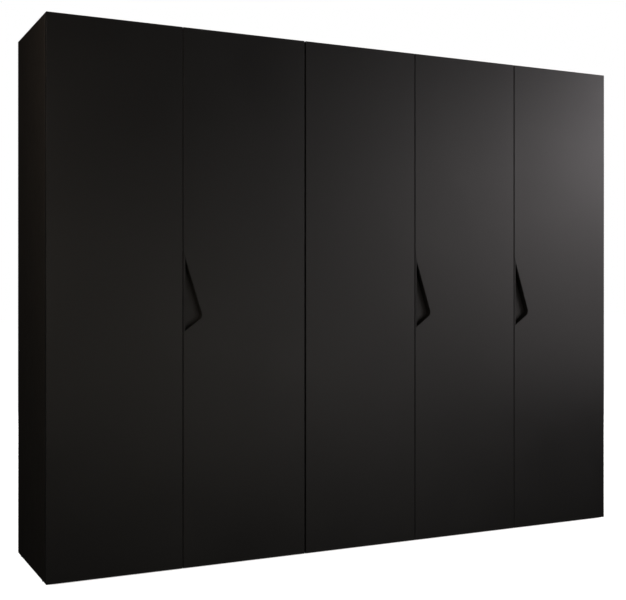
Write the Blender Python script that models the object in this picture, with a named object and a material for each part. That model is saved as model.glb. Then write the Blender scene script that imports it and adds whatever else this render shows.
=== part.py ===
"""Five-door wardrobe on two bolted carcasses, with sunken finger grips in three of its doors.

Metres, +Z up. The fronts face -Y, and the origin is the middle of the footprint, on the floor.
Doors are numbered from the left. Every door turns about a vertical line at its own front corner.
"""

import math

import bmesh
import bpy
from mathutils import Vector

X_AXIS, Y_AXIS, Z_AXIS = 0, 1, 2

# Whole object
WIDTH = 2.500
DEPTH = 0.510
HEIGHT = 2.000
DOOR_COUNT = 5
MODULE = WIDTH / DOOR_COUNT

# Boards and the air between them
BOARD = 0.018
DOOR_BOARD = 0.019
BACK_BOARD = 0.005
FIT = 0.0003
FLOOR_GAP = 0.005
BUMPER_GAP = 0.002
UNIT_GAP = 0.0006
DOOR_GAP = 0.0026
UNIT_DOOR_GAP = 0.0054
DOOR_EDGE_ROUND = 0.0010
BOARD_EDGE_ROUND = 0.0006

# Carcass
BOTTOM_HEIGHT = 0.060
PLINTH_SETBACK = 0.030
BACK_INSET = 0.012
GROOVE_DEPTH = 0.008
HAT_SHELF_HEIGHT = 1.680
SHELF_HEIGHTS = (0.460, 0.860, 1.260, HAT_SHELF_HEIGHT)
SHELF_SETBACK = 0.024
SHELF_SIDE_GAP = 0.001

# Hanging rail and its sockets
RAIL_HEIGHT = 1.600
RAIL_TALL = 0.030
RAIL_THICK = 0.015
RAIL_WALL = 0.0012
SOCKET_RIM = 0.008
SOCKET_COLLAR = 0.0025
SOCKET_PLATE = 0.003
SOCKET_DEPTH = 0.013

# Concealed hinges: the cup let into the door
HINGE_HEIGHTS = {"low": 0.110, "middle": 1.030, "high": 1.890}
CUP_FROM_EDGE = 0.0225
CUP_BORE_RADIUS = 0.0175
CUP_RADIUS = 0.0171
CUP_WALL = 0.0012
CUP_DEPTH = 0.0118
CUP_BORE_DEPTH = 0.0123
CUP_FLANGE = 0.0010
CUP_FLANGE_WIDTH = 0.039
CUP_FLANGE_TALL = 0.062
CUP_FLANGE_CORNER = 0.010

# Finger grip: a leaning cut-out at the free edge of a right-hinged door, lined by a moulded shell
GRIP_DOORS = (2, 4, 5)
GRIP_TOP = 1.176
GRIP_BOTTOM = 0.873
GRIP_REACH = 0.078
GRIP_LEAN = math.radians(17.6)
GRIP_ROUND = 0.025
GRIP_FLOOR = 0.028
GRIP_SETBACK = 0.0008
SHELL_WALL = 0.0016
LIP_WIDTH = 0.0078
LIP_THICK = 0.009
SHELL_STEP = 0.0105

# Floor contacts
GLIDE_RADIUS = 0.008
GLIDE_INSET = 0.050
FOOT_STEM_RADIUS = 0.012
FOOT_FLANGE_RADIUS = 0.024
FOOT_PAD_RADIUS = 0.018
FOOT_PLATE = 0.004

PAST = 0.010
ROUND_STEPS = 24

# Planes worked out from the sizes above
LEFT = -WIDTH / 2
FRONT = -DEPTH / 2
REAR = DEPTH / 2
DOOR_BACK = FRONT + DOOR_BOARD
CARCASS_FRONT = DOOR_BACK + BUMPER_GAP
BACK_REAR = REAR - BACK_INSET
BACK_FRONT = BACK_REAR - BACK_BOARD
FLOOR_PANEL_TOP = BOTTOM_HEIGHT + BOARD
CEILING = HEIGHT - BOARD


def clear_scene():
    for obj in list(bpy.data.objects):
        bpy.data.objects.remove(obj, do_unlink=True)


def make_material(name, color, roughness, metallic=0.0):
    material = bpy.data.materials.new(name)
    material.use_nodes = True
    shader = material.node_tree.nodes["Principled BSDF"]
    shader.inputs["Base Color"].default_value = (*color, 1.0)
    shader.inputs["Roughness"].default_value = roughness
    shader.inputs["Metallic"].default_value = metallic
    material.diffuse_color = (*color, 1.0)
    return material


def finish_mesh(name, bm):
    """Turn a bmesh into a mesh whose faces all point out."""
    bmesh.ops.recalc_face_normals(bm, faces=bm.faces)
    mesh = bpy.data.meshes.new(name)
    bm.to_mesh(mesh)
    bm.free()
    return mesh


def add_object(name, mesh, material=None, place=(0, 0, 0), parent=None):
    """Put a mesh in the scene with its origin at a world position, under a parent if it has one."""
    obj = bpy.data.objects.new(name, mesh)
    bpy.context.scene.collection.objects.link(obj)
    if material is not None and not mesh.materials:
        mesh.materials.append(material)
    obj.location = Vector(place)
    if parent is not None:
        obj.parent = parent
        obj.location -= parent.location
    return obj


def add_bevel(obj, width, segments):
    bevel = obj.modifiers.new("edges", "BEVEL")
    bevel.width = width
    bevel.segments = segments
    bevel.limit_method = "ANGLE"


def combine(obj, other, operation):
    """Boolean another object with this one. The other is only a tool and is never a piece itself."""
    boolean = obj.modifiers.new(operation.lower(), "BOOLEAN")
    boolean.operation = operation
    boolean.solver = "EXACT"
    boolean.object = other
    other.hide_render = True
    other.display_type = "WIRE"


def bake(obj):
    """The mesh of an object with its modifiers applied. The object and its tools are removed."""
    tools = [modifier.object for modifier in obj.modifiers if modifier.type == "BOOLEAN"]
    tools += [deep.object for tool in tools for deep in tool.modifiers if deep.type == "BOOLEAN"]
    evaluated = obj.evaluated_get(bpy.context.evaluated_depsgraph_get())
    mesh = bpy.data.meshes.new_from_object(evaluated)
    for used in [obj, *tools]:
        bpy.data.objects.remove(used, do_unlink=True)
    return mesh


def smooth(mesh):
    mesh.shade_smooth()
    mesh.set_sharp_from_angle(angle=math.radians(30))


def block_mesh(name, size):
    bm = bmesh.new()
    bmesh.ops.create_cube(bm, size=1.0)
    bmesh.ops.scale(bm, vec=Vector(size), verts=bm.verts)
    return finish_mesh(name, bm)


def block(name, low, high, material=None, parent=None):
    """A box between two corners, with its origin in its middle."""
    low = Vector(low)
    high = Vector(high)
    return add_object(name, block_mesh(name, high - low), material, (low + high) / 2, parent)


def board(name, low, high, material):
    """A carcass board: a box whose edge band is very slightly rounded."""
    obj = block(name, low, high, material)
    add_bevel(obj, BOARD_EDGE_ROUND, 1)
    return obj


def prism_mesh(name, outline, axis, low, high):
    """Extrude an outline along an axis. Its pairs lie on the other two axes, in X, Y, Z order."""
    bm = bmesh.new()
    ends = []
    for level in (low, high):
        ring = []
        for first, second in outline:
            point = [first, second]
            point.insert(axis, level)
            ring.append(bm.verts.new(point))
        ends.append(ring)
        bm.faces.new(ring)
    for index in range(len(outline)):
        after = (index + 1) % len(outline)
        bm.faces.new((ends[0][index], ends[0][after], ends[1][after], ends[1][index]))
    return finish_mesh(name, bm)


def turned_mesh(name, profile, axis, steps=ROUND_STEPS):
    """Turn a profile of (radius, height) pairs, from one flat end to the other, about an axis."""
    bm = bmesh.new()
    rings = []
    for radius, height in profile:
        ring = []
        for step in range(steps):
            angle = math.tau * step / steps
            point = [radius * math.cos(angle), radius * math.sin(angle)]
            point.insert(axis, height)
            ring.append(bm.verts.new(point))
        rings.append(ring)
    for ring, following in zip(rings, rings[1:]):
        for step in range(steps):
            after = (step + 1) % steps
            bm.faces.new((ring[step], ring[after], following[after], following[step]))
    bm.faces.new(rings[0])
    bm.faces.new(rings[-1])
    mesh = finish_mesh(name, bm)
    smooth(mesh)
    return mesh


def arc(center, radius, start, end, steps):
    """Points on a circle from one angle to another, both ends included."""
    points = []
    for step in range(steps + 1):
        angle = start + (end - start) * step / steps
        points.append((center[0] + radius * math.cos(angle), center[1] + radius * math.sin(angle)))
    return points


def rounded_rectangle(width, tall, corner, steps):
    """Outline centred on the origin. A corner of half the width gives a slot with round ends."""
    outline = []
    quarter = math.pi / 2
    for index, (side, end) in enumerate(((1, 1), (-1, 1), (-1, -1), (1, -1))):
        center = (side * (width / 2 - corner), end * (tall / 2 - corner))
        outline += arc(center, corner, index * quarter, (index + 1) * quarter, steps)
    kept = []
    for point in outline:
        if not kept or math.dist(point, kept[-1]) > 1e-6:
            kept.append(point)
    if math.dist(kept[0], kept[-1]) < 1e-6:
        kept.pop()
    return kept


# ---- Finger grip ----


def crossing(first, second):
    """Where two lines (normal, offset) meet, a line being all points p with p . normal = offset."""
    (a, b), offset = first
    (c, d), other = second
    spread = a * d - b * c
    return ((offset * d - other * b) / spread, (a * other - c * offset) / spread)


def grip_outline(inset, left):
    """The cut-out seen from the front, x from the free edge, drawn in by an inset, cut off at left."""
    corner_height = GRIP_TOP - GRIP_REACH / math.tan(GRIP_LEAN)
    rise = math.atan2(corner_height - GRIP_BOTTOM, GRIP_REACH)
    upper = (math.cos(GRIP_LEAN), math.sin(GRIP_LEAN))
    lower = (math.sin(rise), -math.cos(rise))
    upper_offset = GRIP_TOP * upper[1]
    lower_offset = GRIP_BOTTOM * lower[1]
    center = crossing((upper, upper_offset - GRIP_ROUND), (lower, lower_offset - GRIP_ROUND))
    edge = ((1.0, 0.0), left)
    outline = [crossing((upper, upper_offset - inset), edge)]
    outline += arc(center, GRIP_ROUND - inset, GRIP_LEAN, rise - math.pi / 2, 10)
    outline.append(crossing((lower, lower_offset - inset), edge))
    return outline


def grip_prism(name, plan, inset):
    """A plan of (x, depth) pairs, drawn up along Z and cut to the front outline."""
    far = GRIP_FLOOR + SHELL_WALL + PAST
    upright = add_object(name, prism_mesh(name, plan, Z_AXIS, GRIP_BOTTOM - PAST, GRIP_TOP + PAST))
    outline = grip_outline(inset, -PAST)
    cutter = add_object(name + "_outline", prism_mesh(name, outline, Y_AXIS, -2 * PAST, far))
    combine(upright, cutter, "INTERSECT")
    return upright


def grip_shell_mesh():
    """The dark lining: a slim lip along the door's edge, room for fingertips behind it, a deep tray."""
    reach = GRIP_REACH + PAST
    shallow = DOOR_BOARD - FIT
    lip_back = GRIP_SETBACK + LIP_THICK
    inner = FIT + SHELL_WALL
    tray = SHELL_STEP + SHELL_WALL
    outside = (
        (FIT, GRIP_SETBACK),
        (reach, GRIP_SETBACK),
        (reach, GRIP_FLOOR + SHELL_WALL),
        (SHELL_STEP, GRIP_FLOOR + SHELL_WALL),
        (SHELL_STEP, shallow),
        (FIT, shallow),
    )
    hollow = (
        (LIP_WIDTH, -PAST),
        (reach, -PAST),
        (reach, GRIP_FLOOR),
        (tray, GRIP_FLOOR),
        (tray, shallow - SHELL_WALL),
        (inner, shallow - SHELL_WALL),
        (inner, lip_back),
        (LIP_WIDTH, lip_back),
    )
    shell = grip_prism("grip_shell", outside, FIT)
    combine(shell, grip_prism("grip_hollow", hollow, FIT + SHELL_WALL), "DIFFERENCE")
    mesh = bake(shell)
    smooth(mesh)
    return mesh


# ---- Hinge cup ----


def hinge_cup_mesh():
    """A drawn steel cup with a flange plate. Local Y points out of the door's back face."""
    body = [(CUP_RADIUS - CUP_WALL, -CUP_DEPTH), (CUP_RADIUS, -CUP_DEPTH + CUP_WALL)]
    body.append((CUP_RADIUS, FIT + CUP_FLANGE / 2))
    cup = add_object("cup_body", turned_mesh("cup_body", body, Y_AXIS))
    plate_outline = rounded_rectangle(CUP_FLANGE_WIDTH, CUP_FLANGE_TALL, CUP_FLANGE_CORNER, 3)
    plate = prism_mesh("cup_plate", plate_outline, Y_AXIS, FIT, FIT + CUP_FLANGE)
    inside_radius = CUP_RADIUS - CUP_WALL
    hollow = ((inside_radius, -CUP_DEPTH + CUP_WALL), (inside_radius, PAST))
    combine(cup, add_object("cup_plate", plate), "UNION")
    combine(cup, add_object("cup_hollow", turned_mesh("cup_hollow", hollow, Y_AXIS)), "DIFFERENCE")
    mesh = bake(cup)
    smooth(mesh)
    return mesh


# ---- Doors ----


def door_span(number):
    """The left and right edge of a door."""
    left = LEFT + (number - 1) * MODULE
    right = left + MODULE
    gaps = {1: DOOR_GAP, 2: UNIT_DOOR_GAP, 3: DOOR_GAP, 4: DOOR_GAP}
    return left + gaps.get(number - 1, 0.0) / 2, right - gaps.get(number, 0.0) / 2


def make_door(number, hinged_left, meshes, materials):
    """One door board, its hinge cups and, where it has one, its grip shell, all on its axis."""
    left, right = door_span(number)
    hinge_x = left if hinged_left else right
    toward_free = 1 if hinged_left else -1
    axis = bpy.data.objects.new(f"door_{number}_axis", None)
    axis.location = (hinge_x, FRONT, 0.0)
    bpy.context.scene.collection.objects.link(axis)

    low = (left, FRONT, FLOOR_GAP)
    high = (right, DOOR_BACK, HEIGHT)
    door = block(f"door_{number}", low, high, materials["front"], axis)
    add_bevel(door, DOOR_EDGE_ROUND, 2)

    cup_x = hinge_x + toward_free * CUP_FROM_EDGE
    for level, height in HINGE_HEIGHTS.items():
        place = (cup_x, DOOR_BACK, height)
        bore = add_object(f"door_{number}_bore_{level}", meshes["bore"], None, place, axis)
        combine(door, bore, "DIFFERENCE")
        add_object(f"hinge_cup_{number}_{level}", meshes["cup"], materials["hinge"], place, axis)

    if number in GRIP_DOORS:
        place = (left, FRONT, 0.0)
        window = add_object(f"door_{number}_window", meshes["window"], None, place, axis)
        combine(door, window, "DIFFERENCE")
        add_object(f"grip_shell_{number}", meshes["shell"], materials["grip"], place, axis)


def make_doors(materials):
    window_outline = grip_outline(0.0, -PAST)
    bore = ((CUP_BORE_RADIUS, -CUP_BORE_DEPTH), (CUP_BORE_RADIUS, PAST))
    meshes = {
        "cup": hinge_cup_mesh(),
        "bore": turned_mesh("bore", bore, Y_AXIS),
        "shell": grip_shell_mesh(),
        "window": prism_mesh("window", window_outline, Y_AXIS, -PAST, DOOR_BOARD + PAST),
    }
    for number, hinged_left in ((1, True), (2, False), (3, True), (4, False), (5, False)):
        make_door(number, hinged_left, meshes, materials)


# ---- Carcasses ----


def cut_groove(panel, low, high):
    """Mill a slot for the back sheet, wider than the sheet by the usual fit."""
    slack = Vector((FIT, FIT, FIT))
    tool = block(panel.name + "_groove", Vector(low) - slack, Vector(high) + slack)
    combine(panel, tool, "DIFFERENCE")


def side_panel(name, left, back_edges, material):
    """An upright board. back_edges are the x ranges of the back sheets let into it."""
    low = (left, CARCASS_FRONT, FLOOR_GAP)
    panel = board(name, low, (left + BOARD, REAR, HEIGHT), material)
    for start, end in back_edges:
        low = (start, BACK_FRONT, FLOOR_PANEL_TOP - GROOVE_DEPTH)
        cut_groove(panel, low, (end, BACK_REAR, CEILING + GROOVE_DEPTH))


def back_sheet(name, left, right, material):
    low = (left, BACK_FRONT, FLOOR_PANEL_TOP - GROOVE_DEPTH + FIT)
    high = (right, BACK_REAR, CEILING + GROOVE_DEPTH - FIT)
    block(name, low, high, material)


def level_board(name, left, right, bottom, material):
    """The bottom or top of a carcass, between its sides, grooved for the back sheet."""
    low = (left + FIT, CARCASS_FRONT, bottom)
    panel = board(name, low, (right - FIT, REAR, bottom + BOARD), material)
    is_bottom = bottom == BOTTOM_HEIGHT
    start = FLOOR_PANEL_TOP - GROOVE_DEPTH if is_bottom else CEILING
    low = (left - PAST, BACK_FRONT, start)
    cut_groove(panel, low, (right + PAST, BACK_REAR, start + GROOVE_DEPTH))


def shelf(name, left, right, bottom, side_gap, setback, material):
    low = (left + side_gap, CARCASS_FRONT + setback, bottom)
    board(name, low, (right - side_gap, BACK_FRONT - FIT, bottom + BOARD), material)


def make_rail(prefix, left, right, materials):
    """An oval tube with a wall, held at each end by a collared socket on the carcass."""
    corner = RAIL_THICK / 2
    end_gap = FIT + SOCKET_PLATE + FIT
    tube_outline = rounded_rectangle(RAIL_THICK, RAIL_TALL, corner, 5)
    thin = 2 * RAIL_WALL
    bore_outline = rounded_rectangle(RAIL_THICK - thin, RAIL_TALL - thin, corner - RAIL_WALL, 5)
    half = (right - left) / 2 - end_gap
    place = ((left + right) / 2, 0.0, RAIL_HEIGHT)
    rail_name = prefix + "_rail"
    tube_mesh = prism_mesh(rail_name, tube_outline, X_AXIS, -half, half)
    smooth(tube_mesh)
    rail = add_object(rail_name, tube_mesh, materials["rail"], place)
    bore_mesh = prism_mesh(rail_name + "_bore", bore_outline, X_AXIS, -half - PAST, half + PAST)
    combine(rail, add_object(rail_name + "_bore", bore_mesh, None, place), "DIFFERENCE")

    for side, x, inward in (("left", left + FIT, 1), ("right", right - FIT, -1)):
        name = f"{prefix}_rail_socket_{side}"
        make_socket(name, (x, 0.0, RAIL_HEIGHT), inward, materials["hinge"])


def make_socket(name, place, inward, material):
    """A flange plate screwed to the upright, with a collar round the rail's end."""
    grown = 2 * (FIT + SOCKET_COLLAR)
    collar_outline = rounded_rectangle(RAIL_THICK + grown, RAIL_TALL + grown, (RAIL_THICK + grown) / 2, 5)
    wide = RAIL_THICK + 2 * SOCKET_RIM
    plate_outline = rounded_rectangle(wide, RAIL_TALL + 2 * SOCKET_RIM, wide / 2, 5)
    loose = 2 * FIT
    pocket_outline = rounded_rectangle(RAIL_THICK + loose, RAIL_TALL + loose, (RAIL_THICK + loose) / 2, 5)
    spans = (
        (plate_outline, 0.0, SOCKET_PLATE),
        (collar_outline, SOCKET_PLATE / 2, SOCKET_DEPTH),
        (pocket_outline, SOCKET_PLATE, SOCKET_DEPTH + PAST),
    )
    meshes = []
    for outline, start, end in spans:
        low, high = sorted((start * inward, end * inward))
        meshes.append(prism_mesh(name, outline, X_AXIS, low, high))
    smooth(meshes[0])
    plate = add_object(name, meshes[0], material, place)
    combine(plate, add_object(name + "_collar", meshes[1], None, place), "UNION")
    combine(plate, add_object(name + "_pocket", meshes[2], None, place), "DIFFERENCE")


def plinth(name, left, right, material):
    front = CARCASS_FRONT + PLINTH_SETBACK
    low = (left + FIT, front, FLOOR_GAP)
    board(name, low, (right - FIT, front + BOARD, BOTTOM_HEIGHT - FIT), material)


def make_left_unit(materials):
    """Two-door carcass: hat shelf over a hanging rail."""
    left = LEFT + BOARD
    right = LEFT + 2 * MODULE - UNIT_GAP / 2 - BOARD
    deep = GROOVE_DEPTH - FIT
    side_panel("left_unit_outer_side", LEFT, [(left - deep, left + PAST)], materials["carcass"])
    side_panel("left_unit_inner_side", right, [(right - PAST, right + deep)], materials["carcass"])
    level_board("left_unit_bottom", left, right, BOTTOM_HEIGHT, materials["carcass"])
    level_board("left_unit_top", left, right, CEILING, materials["carcass"])
    back_sheet("left_unit_back", left - deep + FIT, right + deep - FIT, materials["back"])
    plinth("left_unit_plinth", left, right, materials["carcass"])
    shelf("left_unit_hat_shelf", left, right, HAT_SHELF_HEIGHT, FIT, SHELF_SETBACK, materials["shelf"])
    make_rail("left_unit", left, right, materials)


def make_right_unit(materials):
    """Three-door carcass: hat shelf over a rail behind two doors, shelves behind the third."""
    left = LEFT + 2 * MODULE + UNIT_GAP / 2 + BOARD
    right = -LEFT - BOARD
    middle = LEFT + 4 * MODULE
    deep = GROOVE_DEPTH - FIT
    side_panel("right_unit_inner_side", left - BOARD, [(left - deep, left + PAST)], materials["carcass"])
    side_panel("right_unit_outer_side", right, [(right - PAST, right + deep)], materials["carcass"])
    level_board("right_unit_bottom", left, right, BOTTOM_HEIGHT, materials["carcass"])
    level_board("right_unit_top", left, right, CEILING, materials["carcass"])
    back_sheet("right_unit_back_wide", left - deep + FIT, middle - FIT / 2, materials["back"])
    back_sheet("right_unit_back_narrow", middle + FIT / 2, right + deep - FIT, materials["back"])
    plinth("right_unit_plinth", left, right, materials["carcass"])

    partition_left = middle - BOARD / 2
    partition_right = middle + BOARD / 2
    low = (partition_left, CARCASS_FRONT, FLOOR_PANEL_TOP + FIT)
    high = (partition_right, BACK_FRONT - FIT, CEILING - FIT)
    board("right_unit_partition", low, high, materials["carcass"])
    shelf("right_unit_hat_shelf", left, partition_left, HAT_SHELF_HEIGHT, FIT, SHELF_SETBACK,
          materials["shelf"])
    make_rail("right_unit", left, partition_left, materials)
    for index, height in enumerate(SHELF_HEIGHTS, start=1):
        shelf(f"shelf_{index}", partition_right, right, height, SHELF_SIDE_GAP, SHELF_SETBACK,
              materials["shelf"])


# ---- Floor contacts ----


def make_floor_contacts(material):
    """A nailed glide under each end of every side, and two feet under the wide carcass's middle."""
    top = FLOOR_GAP - FIT
    profile = ((GLIDE_RADIUS - 0.001, 0.0), (GLIDE_RADIUS, 0.001), (GLIDE_RADIUS, top))
    glide = turned_mesh("glide", profile, Z_AXIS, 16)
    unit_edge = LEFT + 2 * MODULE
    half = BOARD / 2
    uprights = {
        "left_outer": LEFT + half,
        "left_inner": unit_edge - UNIT_GAP / 2 - half,
        "right_inner": unit_edge + UNIT_GAP / 2 + half,
        "right_outer": -LEFT - half,
    }
    rows = {"front": CARCASS_FRONT + GLIDE_INSET, "rear": REAR - GLIDE_INSET}
    for upright, x in uprights.items():
        for row, y in rows.items():
            add_object(f"glide_{upright}_{row}", glide, material, (x, y, 0.0))

    foot_top = BOTTOM_HEIGHT - FIT
    profile = (
        (FOOT_PAD_RADIUS - 0.001, 0.0),
        (FOOT_PAD_RADIUS, 0.001),
        (FOOT_PAD_RADIUS, FOOT_PLATE),
        (FOOT_STEM_RADIUS, FOOT_PLATE + 0.002),
        (FOOT_STEM_RADIUS, foot_top - FOOT_PLATE),
        (FOOT_FLANGE_RADIUS, foot_top - FOOT_PLATE / 2),
        (FOOT_FLANGE_RADIUS, foot_top),
    )
    foot = turned_mesh("foot", profile, Z_AXIS, 20)
    middle = LEFT + 4 * MODULE
    behind_plinth = CARCASS_FRONT + PLINTH_SETBACK + BOARD + GLIDE_INSET
    for row, y in (("front", behind_plinth), ("rear", REAR - GLIDE_INSET)):
        add_object(f"middle_foot_{row}", foot, material, (middle, y, 0.0))


def main():
    clear_scene()
    materials = {
        "front": make_material("front_laminate", (0.020, 0.020, 0.020), 0.42),
        "carcass": make_material("carcass_laminate", (0.018, 0.018, 0.017), 0.55),
        "shelf": make_material("shelf_laminate", (0.060, 0.060, 0.058), 0.60),
        "back": make_material("back_board", (0.080, 0.080, 0.078), 0.75),
        "grip": make_material("grip_moulding", (0.012, 0.012, 0.012), 0.55),
        "hinge": make_material("hinge_nickel", (0.62, 0.61, 0.58), 0.28, 1.0),
        "rail": make_material("rail_chrome", (0.75, 0.75, 0.76), 0.12, 1.0),
        "glide": make_material("glide_plastic", (0.030, 0.030, 0.030), 0.50),
    }
    make_left_unit(materials)
    make_right_unit(materials)
    make_floor_contacts(materials["glide"])
    make_doors(materials)


main()
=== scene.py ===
"""Looks of the five-door wardrobe: finishes, hinges, fixings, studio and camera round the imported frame.

Metres, +Z up, in the frame's own axes: the fronts face -Y. Hinge parts are drawn in the hinge's own
directions, u from the door's hinged edge towards its free edge, v from the front backwards, and z up.
"""

import math

import bmesh
import bpy
from mathutils import Matrix, Vector


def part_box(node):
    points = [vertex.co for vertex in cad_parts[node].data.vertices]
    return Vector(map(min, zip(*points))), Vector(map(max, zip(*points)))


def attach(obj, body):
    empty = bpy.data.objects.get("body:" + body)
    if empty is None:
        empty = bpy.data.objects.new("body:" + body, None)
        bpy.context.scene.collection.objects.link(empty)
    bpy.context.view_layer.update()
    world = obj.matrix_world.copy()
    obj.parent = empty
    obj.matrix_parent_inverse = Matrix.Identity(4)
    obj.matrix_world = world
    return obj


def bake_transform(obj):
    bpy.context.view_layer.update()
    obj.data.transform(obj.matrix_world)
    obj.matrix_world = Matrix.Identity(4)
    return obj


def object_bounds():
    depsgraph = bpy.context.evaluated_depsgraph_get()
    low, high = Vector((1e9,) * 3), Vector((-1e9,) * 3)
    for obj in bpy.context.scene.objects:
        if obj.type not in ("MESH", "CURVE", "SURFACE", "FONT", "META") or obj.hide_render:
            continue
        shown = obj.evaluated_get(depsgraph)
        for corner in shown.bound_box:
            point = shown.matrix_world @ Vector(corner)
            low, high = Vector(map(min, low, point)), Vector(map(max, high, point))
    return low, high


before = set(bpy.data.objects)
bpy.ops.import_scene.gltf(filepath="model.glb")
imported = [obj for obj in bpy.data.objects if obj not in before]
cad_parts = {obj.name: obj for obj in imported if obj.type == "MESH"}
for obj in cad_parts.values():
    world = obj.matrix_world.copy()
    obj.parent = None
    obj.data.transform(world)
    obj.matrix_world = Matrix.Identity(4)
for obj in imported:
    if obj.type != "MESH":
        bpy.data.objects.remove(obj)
cad_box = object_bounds()

X_AXIS, Y_AXIS, Z_AXIS = 0, 1, 2
LEVELS = ("low", "middle", "high")
GRIP_DOORS = (2, 4, 5)

# How far a cutting shape reaches past the piece that it cuts, and the gap that keeps two faces apart
FAR = 0.010
HAIR = 0.0001

# Edges sharper than this stay sharp, and the usual rounding of a pressed or moulded edge
SHARP_ANGLE = math.radians(32)
ROUNDING = 0.0004
ROUNDING_STEPS = 2

# The board that carries each door's hinges, and which way the door reaches from its hinged edge
HINGE_BOARDS = {
    1: ("left_unit_outer_side", 1),
    2: ("left_unit_inner_side", -1),
    3: ("right_unit_inner_side", 1),
    4: ("right_unit_partition", -1),
    5: ("right_unit_outer_side", -1),
}

# Hinge plate, on the board: a screwed wing above and below, and the saddle that the arm straddles
PLATE_THICK = 0.0018
PLATE_BACK = 0.058
PLATE_LIFT = 0.0035
PLATE_SCREW_PITCH = 0.016
WING_WIDE = 0.014
WING_TALL = 0.052
SADDLE_START = 0.044
SADDLE_END = 0.092
SADDLE_HALF = 0.0070
SADDLE_TALL = 0.006
BOSS_RADIUS = 0.0052
BOSS_TALL = 0.003

# Hinge arm, of sheet steel: a wide foot over the plate, flaring from a narrow nose over the cup
SHEET = 0.0012
ARM_HALF = 0.009
ARM_DEEP = 0.0115
ARM_END = 0.094
ARM_CLEAR = 0.060
FOOT_START = 0.038
SHOULDER = 0.048
NOSE_HALF = 0.006
NOSE_LOW = 0.021
NOSE_HIGH = 0.034
NOSE_TIP = 0.0125
NOSE_CREST = 0.020
NOSE_BACK = 0.026
BROW = 0.033
BROW_BACK = 0.034
FLARE_START = 0.028
FLARE_END = 0.042
ADJUSTER_PLACES = (0.052, 0.074)
ADJUSTER_SINK = 0.0003
CLIP_START = 0.0905
CLIP_END = 0.0985
CLIP_HALF = 0.006
RIVET_RADIUS = 0.0016
RIVET_STAND = 0.0007
RIVET_PLACES = ((0.0290, 0.0185), (0.0250, 0.0270))

# Hinge link, from inside the nose to the pin in the cup.
LINK_U = 0.0235
LINK_BACK = 0.0300
LINK_END = 0.0105
LINK_PAST = 0.0010
LINK_RINGS = 40
LINK_HALF_WIDE = 0.0022
LINK_HALF_TALL = 0.0044
LINK_WALL = 0.0013
PIN_RADIUS = 0.0012
PIN_HALF = 0.0150
CUP_SCREW_U = 0.0225
CUP_SCREW_OFFSET = 0.024

# Screws, and the domes of their heads: the share of the height that stands upright
DOME_STEPS = 5
DOME_RIM = 0.3
SCREW_RADIUS = 0.0038
SCREW_TALL = 0.0016
SMALL_SCREW_RADIUS = 0.0022
SMALL_SCREW_TALL = 0.0010

# Shelf pins, and the rows of holes that they stand in
SHELF_COUNT = 4
SHELF_HOLE_INSET = 0.037
SHELF_HOLE_PITCH = 0.032
SHELF_HOLE_RADIUS = 0.0025
SHELF_HOLE_DEPTH = 0.010
SPARE_HOLES = 2
PEG_RADIUS = 0.0024
PEG_COLLAR = 0.0045
PEG_DROP = 0.0053
TONGUE_REACH = 0.012
TONGUE_WIDE = 0.009
TONGUE_TOP = PEG_DROP - 0.0003
TONGUE_BOTTOM = PEG_DROP - 0.0030
WEB_HALF = 0.0009

# Cam covers, carcass bolts, rail screws and door bumpers
CAM_INSET = 0.034
CAM_SPREAD = 0.34
CAM_RADIUS = 0.0090
CAM_SLOT = (0.0085, 0.0016, 0.0007)
CAM_SLOT_FLOOR = 0.0007
BOLT_INSET = 0.075
BOLT_HEIGHTS = (0.15, 0.60, 0.90)
BOLT_RADIUS = 0.0075
BOLT_SCREW_LIFT = 0.0014
SOCKET_FLANGE = 0.003
SOCKET_SCREW_INSET = 0.0026
BUMPER_INSET = 0.020
BUMPER_RADIUS = 0.0042
BUMPER_TALL = 0.0017

# Collars round the grip trays. Only the tray of a grip's shell stands this far behind its door.
TRAY_BEHIND_DOOR = 0.004
BEZEL_WIDTH = 0.0052
BEZEL_THICK = 0.0012

# Wedges and seam strip on the back sheets
WEDGE_REACH = 0.026
WEDGE_HALF = 0.012
WEDGE_FLAT = 0.006
WEDGE_TALL = 0.0105
WEDGE_TIP = 0.0028
WEDGE_SCREW = (0.016, 0.0064)
WEDGE_HEIGHTS = (0.14, 0.38, 0.62, 0.86)
STRIP_HALF = 0.012
STRIP_THICK = 0.0016
STRIP_SCREWS = 7

# The Mix node has a set of sockets for each kind of data. These are the ones for colours.
MIX_FACTOR, MIX_FIRST, MIX_SECOND, MIX_RESULT = 0, 6, 7, 2

# Mottling: the stretch of a noise that counts, and how much finer the gloss varies than the colour
NOISE_SPAN = (0.3, 0.7)
GLOSS_FINER = 2.3

# Where a face begins to count as pointing along an axis, and where it fully does, as parts of its normal
FACING_SPAN = (0.5, 0.8)

# Finishes. A colour is linear red, green and blue, and a pair holds the two ends of its mottling.
FRONT_BLACK = ((0.0034,) * 3, (0.0048,) * 3)
CARCASS_BLACK = ((0.0095, 0.0088, 0.0080), (0.0122, 0.0112, 0.0100))
GRIP_BLACK = ((0.0026,) * 3, (0.0036,) * 3)
# The grip floor's grey is painted light, lighter than the moulding's black walls
GRIP_FLOOR_PAINTED_LIGHT = (0.0062, 0.0059, 0.0059)
LINEN_DARK = (0.078, 0.077, 0.074)
LINEN_LIGHT = (0.165, 0.163, 0.157)
LINEN_PLAIN = ((0.105, 0.104, 0.100), (0.122, 0.121, 0.116))
RAW_FIBRES = ((0.098, 0.060, 0.036), (0.190, 0.125, 0.078))
NICKEL = ((0.55, 0.535, 0.50), (0.68, 0.665, 0.63))
CHROME = ((0.72, 0.72, 0.73), (0.80, 0.80, 0.81))
RAW_CHIPS = ((0.28, 0.19, 0.11), (0.42, 0.30, 0.18))
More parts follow.
